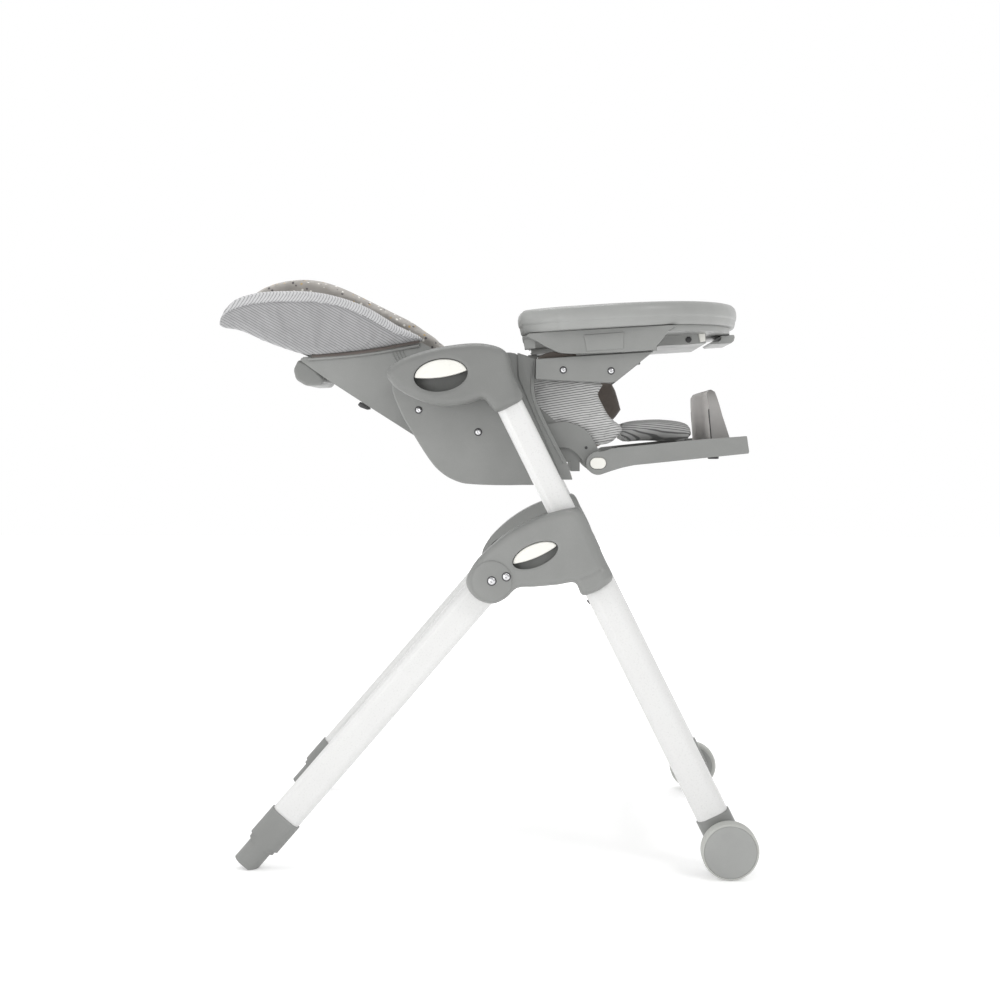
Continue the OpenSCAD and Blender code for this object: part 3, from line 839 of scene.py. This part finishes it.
HUB_GRIP = (80.0, 470.5, 35.0, 16.8, 23.0)
SEAT_GRIP = (-57.0, 730.0, 39.5, 23.8, 8.0)
HUB_EDGE = [(-20, 427), (-15, 447), (2, 469), (30, 494), (62, 514), (97, 529), (128, 537),
            (145, 536), (157, 514), (170, 489), (181, 462), (192, 438), (178, 423), (160, 414),
            (147, 413), (137, 430), (112, 427), (80, 424), (54, 422), (37, 407), (17, 399),
            (-6, 407)]
HOUSING_EDGE = [(-136, 735), (-115, 753), (-71, 768), (-30, 775), (2, 776), (28, 770), (41, 758),
                (46, 737), (54, 716), (61, 697), (42, 684), (24, 677), (14, 686), (3, 696),
                (-20, 689), (-45, 685), (-75, 689), (-105, 701), (-127, 716)]


def beyond(p, a, b):
    """Distance of p to the right of the line from a to b, or 0."""
    a, b = Vector(a), Vector(b)
    along = (b - a).normalized()
    return max(0.0, (p - a).dot(Vector((-along.y, along.x))))


def hub_dip(p):
    """The tube sleeve turns away at the front, below a crease, and ends in a collar."""
    away = beyond(p, (134, 534), (172, 451))
    collar = line_distance(p, [Vector((137, 434)), Vector((160, 443)), Vector((188, 458))])
    return min(away, 15) * 0.42 + 1.5 * math.exp(-(collar / 1.7) ** 2)


def housing_dip(p):
    away = beyond(p, (28, 772), (40, 700))
    return min(away, 15) ** 2 * 0.026


for side, way in SIDES.items():
    lowered(f"hub_{side}", "grey", 276.0, HUB_GRIP, 9.0)
    skin(f"hub_face_{side}", catmull(HUB_EDGE, 4), oval(HUB_GRIP), 275.8, 287.0, 10, "grey",
         "front_frame", way, hub_dip, 2.4)
    lowered(f"housing_{side}", "housing", 264.0, SEAT_GRIP, 7.0, -13.3)
    skin(f"housing_face_{side}", catmull(HOUSING_EDGE, 4), oval(SEAT_GRIP), 263.8, 275.0, 10.5,
         "housing", "carriage", way, housing_dip)
    soften(f"side_cover_{side}", "grey", 0,
           [(2.2, lambda a, b: min(abs(a.y), abs(b.y)) > 0.2048)])
    soften(f"arm_rail_{side}", "grey", 1.4)
    soften(f"fold_lever_{side}", "lever", 1.6)
    soften(f"height_lever_{side}", "lever", 1.6)
    soften(f"tilt_button_{side}", "lever", 1.2)
    soften(f"rear_foot_{side}", "grey", 3.0)
    soften(f"wheel_socket_{side}", "grey", 1.2)
    soften(f"tyre_{side}", "tyre", 0.6)
    soften(f"wheel_cap_{side}", "wheel", 1.0)
for node, material, width in (
        ("leg_rest_brackets", "grey", 1.2),
        ("leg_rest", "grey", 1.6), ("foot_knob", "dark", 1.2),
        ("recline_handle", "grey", 4.0), ("tray_skirts", "grey", 2.2),
        ("tray_carrier", "tray", 1.0), ("tray_lever", "tray", 1.0),
        ("harness_buckle", "dark", 2.4), ("buckle_button", "tray", 0.8),
        ("head_board", "grey", 2.0), ("tube_plugs", "grey", 1.0)):
    soften(node, material, width)


for side, way in SIDES.items():
    for i, (place, y, radius, body) in enumerate((
            ((17.4, 433.3), 288.9, 5.4, "front_frame"), ((38.5, 439.5), 288.9, 5.2, "front_frame"),
            ((-95, 681), 205.1, 4.2, "carriage"), ((-6, 648), 205.1, 4.4, "carriage"),
            ((120.5, 739.5), 220.1, 4.0, "carriage"), ((191, 738), 220.1, 4.0, "carriage"))):
        screw(f"screw_{side}_{i}", place, y, radius, body, way)
    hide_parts("frame_fasteners")
    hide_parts("seat_fasteners")
    disc(f"hub_boss_{side}", (17.4, 433.3), way * 286.4, 29.0, 2.5, "grey", "front_frame",
         way, [(1.0, 0.0), (1.0, 0.7), (0.98, 0.9), (0.95, 1.0), (0.5, 1.0)])
    # Rivet of the leg's lock cable, on the rear side of the tube
    block(f"leg_rivet_{side}", [(155, 401), (159, 404), (163, 399), (159, 396)], way * 247,
          way * 253, "dark", "front_frame", 0.6)


# ---------------------------------------------------------------- tray

TRAY_BASE = (52.0, 792.2)
TRAY_TILT = math.radians(3.3)


def on_tray(x, y, z):
    """From the tray's own frame (mm) to the chair's (m)."""
    c, s = math.cos(TRAY_TILT), math.sin(TRAY_TILT)
    return Vector(((TRAY_BASE[0] + c * x - s * z) * MM, y * MM,
                   (TRAY_BASE[1] + s * x + c * z) * MM))


def tray_outline():
    """Plan of the tray: a broad rounded nose and a hollow that fits the child."""
    half = []
    for a in range(0, 85, 3):
        t = math.radians(a)
        half.append((105 + 243 * math.cos(t) ** 0.82, 258 * math.sin(t) ** 0.9))
    for i in range(1, 9):
        t = i / 9
        x = 60 + (half[-1][0] - 60) * (1 - t)
        half_y = half[28][1] + (251 - half[28][1]) * t
        half.append((x, half_y))
    half += [(60, 251), (38, 244), (20, 234), (9, 224), (6, 216), (10, 208)]
    reach = 185.0
    for i in range(0, 26):
        a = math.asin(min(1.0, 170 / reach)) * (1 - i / 25)
        half.append((-72 + reach * math.cos(a), reach * math.sin(a)))
    ring = [Vector(p) for p in half] + [Vector((x, -y)) for x, y in reversed(half[1:-1])]
    return spaced(catmull(ring, 3), 7.0)


def inset_ring(ring, amount):
    out = []
    for i, p in enumerate(ring):
        a, b = ring[i - 1], ring[(i + 1) % len(ring)]
        along = (b - a).normalized()
        out.append(p - Vector((along.y, -along.x)) * amount)
    return out


plan = tray_outline()
if sum(a.x * b.y - b.x * a.y for a, b in zip(plan, plan[1:] + plan[:1])) < 0:
    plan.reverse()
# Section of the rim, from its underside round to the floor: (distance in, height)
profile = [(7, 0), (5.4, 0.5), (4.2, 2.4), (3.2, 6), (2.2, 10.6), (2.1, 11.2), (1.3, 11.9),
           (0.5, 15), (0, 19), (0.2, 24), (1.8, 29.6), (5.2, 33.2), (9, 34.3), (12.6, 33.2),
           (14.6, 30), (15.8, 25), (17.5, 18), (20, 12.4), (24, 9.2), (30, 8.4)]
tray_bm = bmesh.new()
loops = []
for amount, height in profile:
    ring = inset_ring(plan, amount)
    loops.append([tray_bm.verts.new(on_tray(p.x, p.y, height + 0.3)) for p in ring])
count = len(plan)
for low_loop, high_loop in zip(loops, loops[1:]):
    for k in range(count):
        n = (k + 1) % count
        tray_bm.faces.new((low_loop[k], low_loop[n], high_loop[n], high_loop[k]))
for loop in (loops[0], loops[-1]):
    points = [v.co for v in loop]
    flat = [Vector((v.x, v.y)) for v in points]
    rim = [(i, (i + 1) % count) for i in range(count)]
    made, _, tris, *_ = delaunay_2d_cdt(flat, rim, [], 1, 1e-9)
    if len(made) == count:
        for tri in tris:
            tray_bm.faces.new([loop[i] for i in tri])
new_piece("tray_shell", tray_bm, "tray", "tray", "tray", 40.0)


# ---------------------------------------------------------------- backrest

WING = [(-404, 815), (-397, 833), (-378, 851), (-342, 861), (-296, 863), (-256, 861),
        (-215, 852), (-174, 836), (-133, 811), (-92, 789), (-133, 781), (-174, 774),
        (-215, 769), (-268, 766), (-322, 782), (-371, 803), (-398, 808)]
INSERT = [(-368, 852), (-357, 869), (-326, 882), (-290, 887), (-257, 884), (-223, 873),
          (-181, 853), (-145, 835), (-117, 821), (-95, 806), (-72, 788), (-62, 756), (-74, 713),
          (-110, 735), (-180, 775), (-260, 813), (-330, 841)]
SIDE_PAD = [(40, 727), (171, 725), (173, 706), (181, 688), (192, 670), (210, 655), (204, 643),
            (192, 632), (172, 629), (150, 634), (60, 634), (24, 634), (16, 660), (20, 715)]
wing_ring = catmull(WING, 3)
band_seam = catmull([(-410, 818), (-391, 830), (-356, 842), (-310, 846), (-262, 846), (-212, 837),
                     (-172, 819), (-134, 798), (-86, 786)], 4, closed=False)


def band_or_panel(centre):
    """0 under the band's seam, 1 above it."""
    p = Vector((centre.x / MM, centre.z / MM))
    for a, b in zip(band_seam, band_seam[1:]):
        if a.x <= p.x <= b.x:
            t = (p.x - a.x) / max(b.x - a.x, 1e-6)
            return 1 if p.y > a.y + (b.y - a.y) * t else 0
    return 0


for side, way in SIDES.items():
    cushion(f"wing_{side}", wing_ring, 136, 170.5, 13, "wing", "backrest",
            step=3.2, crown=1.5, seams=[band_seam], seam_depth=3.2, seam_width=2.2, puff=1.5,
            mirror=way, extra_materials=("band",), face_material=band_or_panel)
    cushion(f"bolster_{side}", catmull(INSERT, 3), 62.5, 103.5, 12, "print", "backrest",
            step=4.5, crown=1.0, puff=2.5, mirror=way)
    cushion(f"side_pad_{side}_cloth", catmull(SIDE_PAD, 3), 158, 169.7, 5, "side", "carriage",
            f"side_pad_{side}", step=3.2, crown=0.6, rumple=0.8, puff=1.5,
            mirror=way,
            seams=[catmull([(207, 652), (180, 648), (150, 650), (90, 655), (30, 656)], 4,
                           closed=False),
                   catmull([(196, 668), (186, 655), (181, 640)], 4, closed=False)],
            seam_depth=1.8, seam_width=2.4)
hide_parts("back_pad")

BACK_SPINE = [(-22, 650), (-62, 684), (-104, 710), (-180, 752), (-248, 786), (-330, 826),
              (-392, 828)]
quilt("back_panel", BACK_SPINE, 134, 15, 6, "side", "backrest", step=5,
      edge=12, grooves=[(62, "y", 6, 7), (0.4, "s", 4, 6)], puff=2)
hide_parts("back_pad")
INSERT_SPINE = [(-64, 722), (-106, 749), (-180, 789), (-250, 824), (-318, 850), (-342, 853)]
quilt("insert_panel", INSERT_SPINE, 62, 14, 12, "taupe", "backrest", step=4,
      edge=10, grooves=[(0.36, "s", 5, 5), (0.7, "s", 5, 5)], puff=2)
for name in ("insert_panel", "bolster_left", "bolster_right"):
    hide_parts("head_insert")

STRAP = [(-250, 845.5), (-180, 809.5), (-100, 769.5), (-61, 745.5)]
for side, way in SIDES.items():
    ribbon(f"shoulder_strap_{side}", [(x, way * 39, z + 1.2) for x, z in STRAP], 11, 2.6,
           "webbing", "backrest", "shoulder_straps")
    lean = math.radians(32)
    ribbon(f"lap_strap_{side}", [(130 - t * math.sin(lean), way * (25 + t * math.cos(lean)),
                                  698 + 1.5 * math.sin(t / 30))
                                 for t in (0, 30, 70, 110, 152)], 12, 2.6, "webbing",
           "carriage", "lap_harness", across=(0, 0, 1))
ribbon("crotch_strap", [(119, 0, 655), (121, 0, 664), (122, 0, 674), (123.5, 0, 681)], 15, 2.8,
       "webbing", "carriage", "lap_harness")


# ---------------------------------------------------------------- seat and leg rest pads

quilt("seat_cushion", [(6, 622), (60, 622), (120, 626), (152, 633), (172, 642), (186, 650)], 148,
      lambda t: 19 + 5 * math.sin(t * math.pi) - 10 * max(0, t - 0.8), 11, "taupe", "carriage",
      "seat_pad", step=5, edge=14,
      grooves=[(70, "y", 4, 5), (0.62, "s", 4, 5)], puff=3)
quilt("calf_cushion", [(208, 648), (236, 652), (272, 652), (300, 649), (317, 645)], 126,
      lambda t: 12 - 4 * (1 - t) ** 3, 13, "calf", "leg_rest", "calf_pad",
      step=4, edge=15, grooves=[(44, "y", 3.5, 4)], puff=3)
cushion("crotch_cover", catmull([(172, 731), (200, 727), (214, 688), (213, 682), (202, 668),
                                 (190, 662), (178, 664), (170, 700)], 3), -25.5, 25.5, 12,
        "taupe", "carriage", "crotch_guard", step=3.0, crown=1.0, puff=1.5)

# ---------------------------------------------------------------- small trims

FLANGE = [(57, 766), (79, 757), (78, 730), (76, 715), (79, 696), (94, 662), (108, 635),
          (127, 599), (134, 577), (121, 577), (119, 588), (83, 672), (69, 704), (58, 730)]
for side, way in SIDES.items():
    # The flange's rear edge, which is most of its second half, laps over the side cover
    block(f"flange_{side}", [(x - 4.6 if i > 8 or i == 0 else x + 0.9, z)
                             for i, (x, z) in enumerate(FLANGE)], way * 180, way * 207.6,
          "grey", "carriage", 1.6)
    # Bead along the flange's front edge
    tube(f"flange_bead_{side}", [(x * MM, way * 207.2 * MM, z * MM) for x, z in (
        (75, 752), (74, 730), (72, 715), (75, 696), (90, 661), (104, 634), (122, 601))],
        0.0016, "grey", "carriage")
    # Dark binding along the lower edge of the wing, and the shell's grey lip below it
    tube(f"wing_binding_{side}", [(x * MM, way * 160 * MM, z * MM) for x, z in (
        (-262, 764), (-215, 766.5), (-174, 771), (-133, 778.5), (-98, 786))], 0.0026, "binding",
        "backrest")
    tube(f"shell_lip_{side}", [(x * MM, way * 157 * MM, z * MM) for x, z in (
        (-268, 759.5), (-215, 763), (-174, 767), (-133, 774), (-98, 780))], 0.0028, "grey",
        "backrest")
    # Fabric tab of the seat cover that shows between the rail and the tray
    cushion(f"cover_tab_{side}", catmull([(82, 757), (104, 768), (141, 765), (142, 758),
                                          (110, 755)], 3), 196, 203, 3.2, "taupe", "carriage",
            step=3.0, mirror=way, rumple=0.3)
    # Raised panel on the tray's skirt
    c, s = math.cos(TRAY_TILT), math.sin(TRAY_TILT)
    block(f"skirt_panel_{side}", [(TRAY_BASE[0] + c * x - s * z, TRAY_BASE[1] + s * x + c * z)
                                  for x, z in ((98, -8), (157, -7), (155, -31), (101, -32))],
          way * 233.2, way * 235.4, "grey", "tray_base", 0.9)
    # Pale clip and dark pad under the front of the tray
    block(f"tray_clip_{side}", [(TRAY_BASE[0] + c * x - s * z, TRAY_BASE[1] + s * x + c * z)
                                for x, z in ((277, -9), (287, -9), (287, -21), (279, -22))],
          way * 118, way * 121, "lever", "tray_base", 0.8)
    disc(f"tray_pad_{side}", (TRAY_BASE[0] + 262, TRAY_BASE[1] - 2), way * 118.2, 4.6, 1.6, "dark",
         "tray_base", way)
    # The bracket's small peg hole, painted as a dark disc of shade
    disc(f"bracket_hole_shade_{side}", (155.5, 624.5), way * 179.5, 2.3, 0.4, "dark", "carriage",
         way)
    # Fine ribs moulded on the side of the back shell
    for k in range(4):
        tube(f"shell_rib_{side}_{k}", [((-141 + 5.5 * k) * MM, way * 155.4 * MM, 773 * MM),
                                       ((-137 + 5.5 * k) * MM, way * 155.4 * MM, 762 * MM),
                                       ((-131 + 5.5 * k) * MM, way * 155.4 * MM, 753 * MM)],
             0.0009, "grey", "backrest")
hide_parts("front_flanges")
block("strap_clip", [(-212, 693), (-208, 698), (-195, 692), (-192, 686), (-197, 685), (-208, 689)],
      -9, 9, "dark", "backrest", 1.0)

# Foot plate: moulded back with a soft pale liner on the side that faces the child; the liner's
# colour is raised past its own tone as painted light, so that face shows lit
plate_bm = from_node("foot_plate")
round_edges(plate_bm, 2.2 * MM)
plate = new_piece("foot_plate_body", plate_bm, "foot", "foot_plate", "foot_plate")
plate.data.materials.append(M["liner_and_painted_light"])
for poly in plate.data.polygons:
    poly.material_index = 1 if poly.normal.x < -0.8 else 0
for side, way in SIDES.items():
    tube(f"foot_seam_{side}", [(x * MM, way * 139.6 * MM, z * MM) for x, z in (
        (347.6, 637), (345.7, 655), (343.9, 672), (343.4, 683))], 0.0010, "dark", "foot_plate")
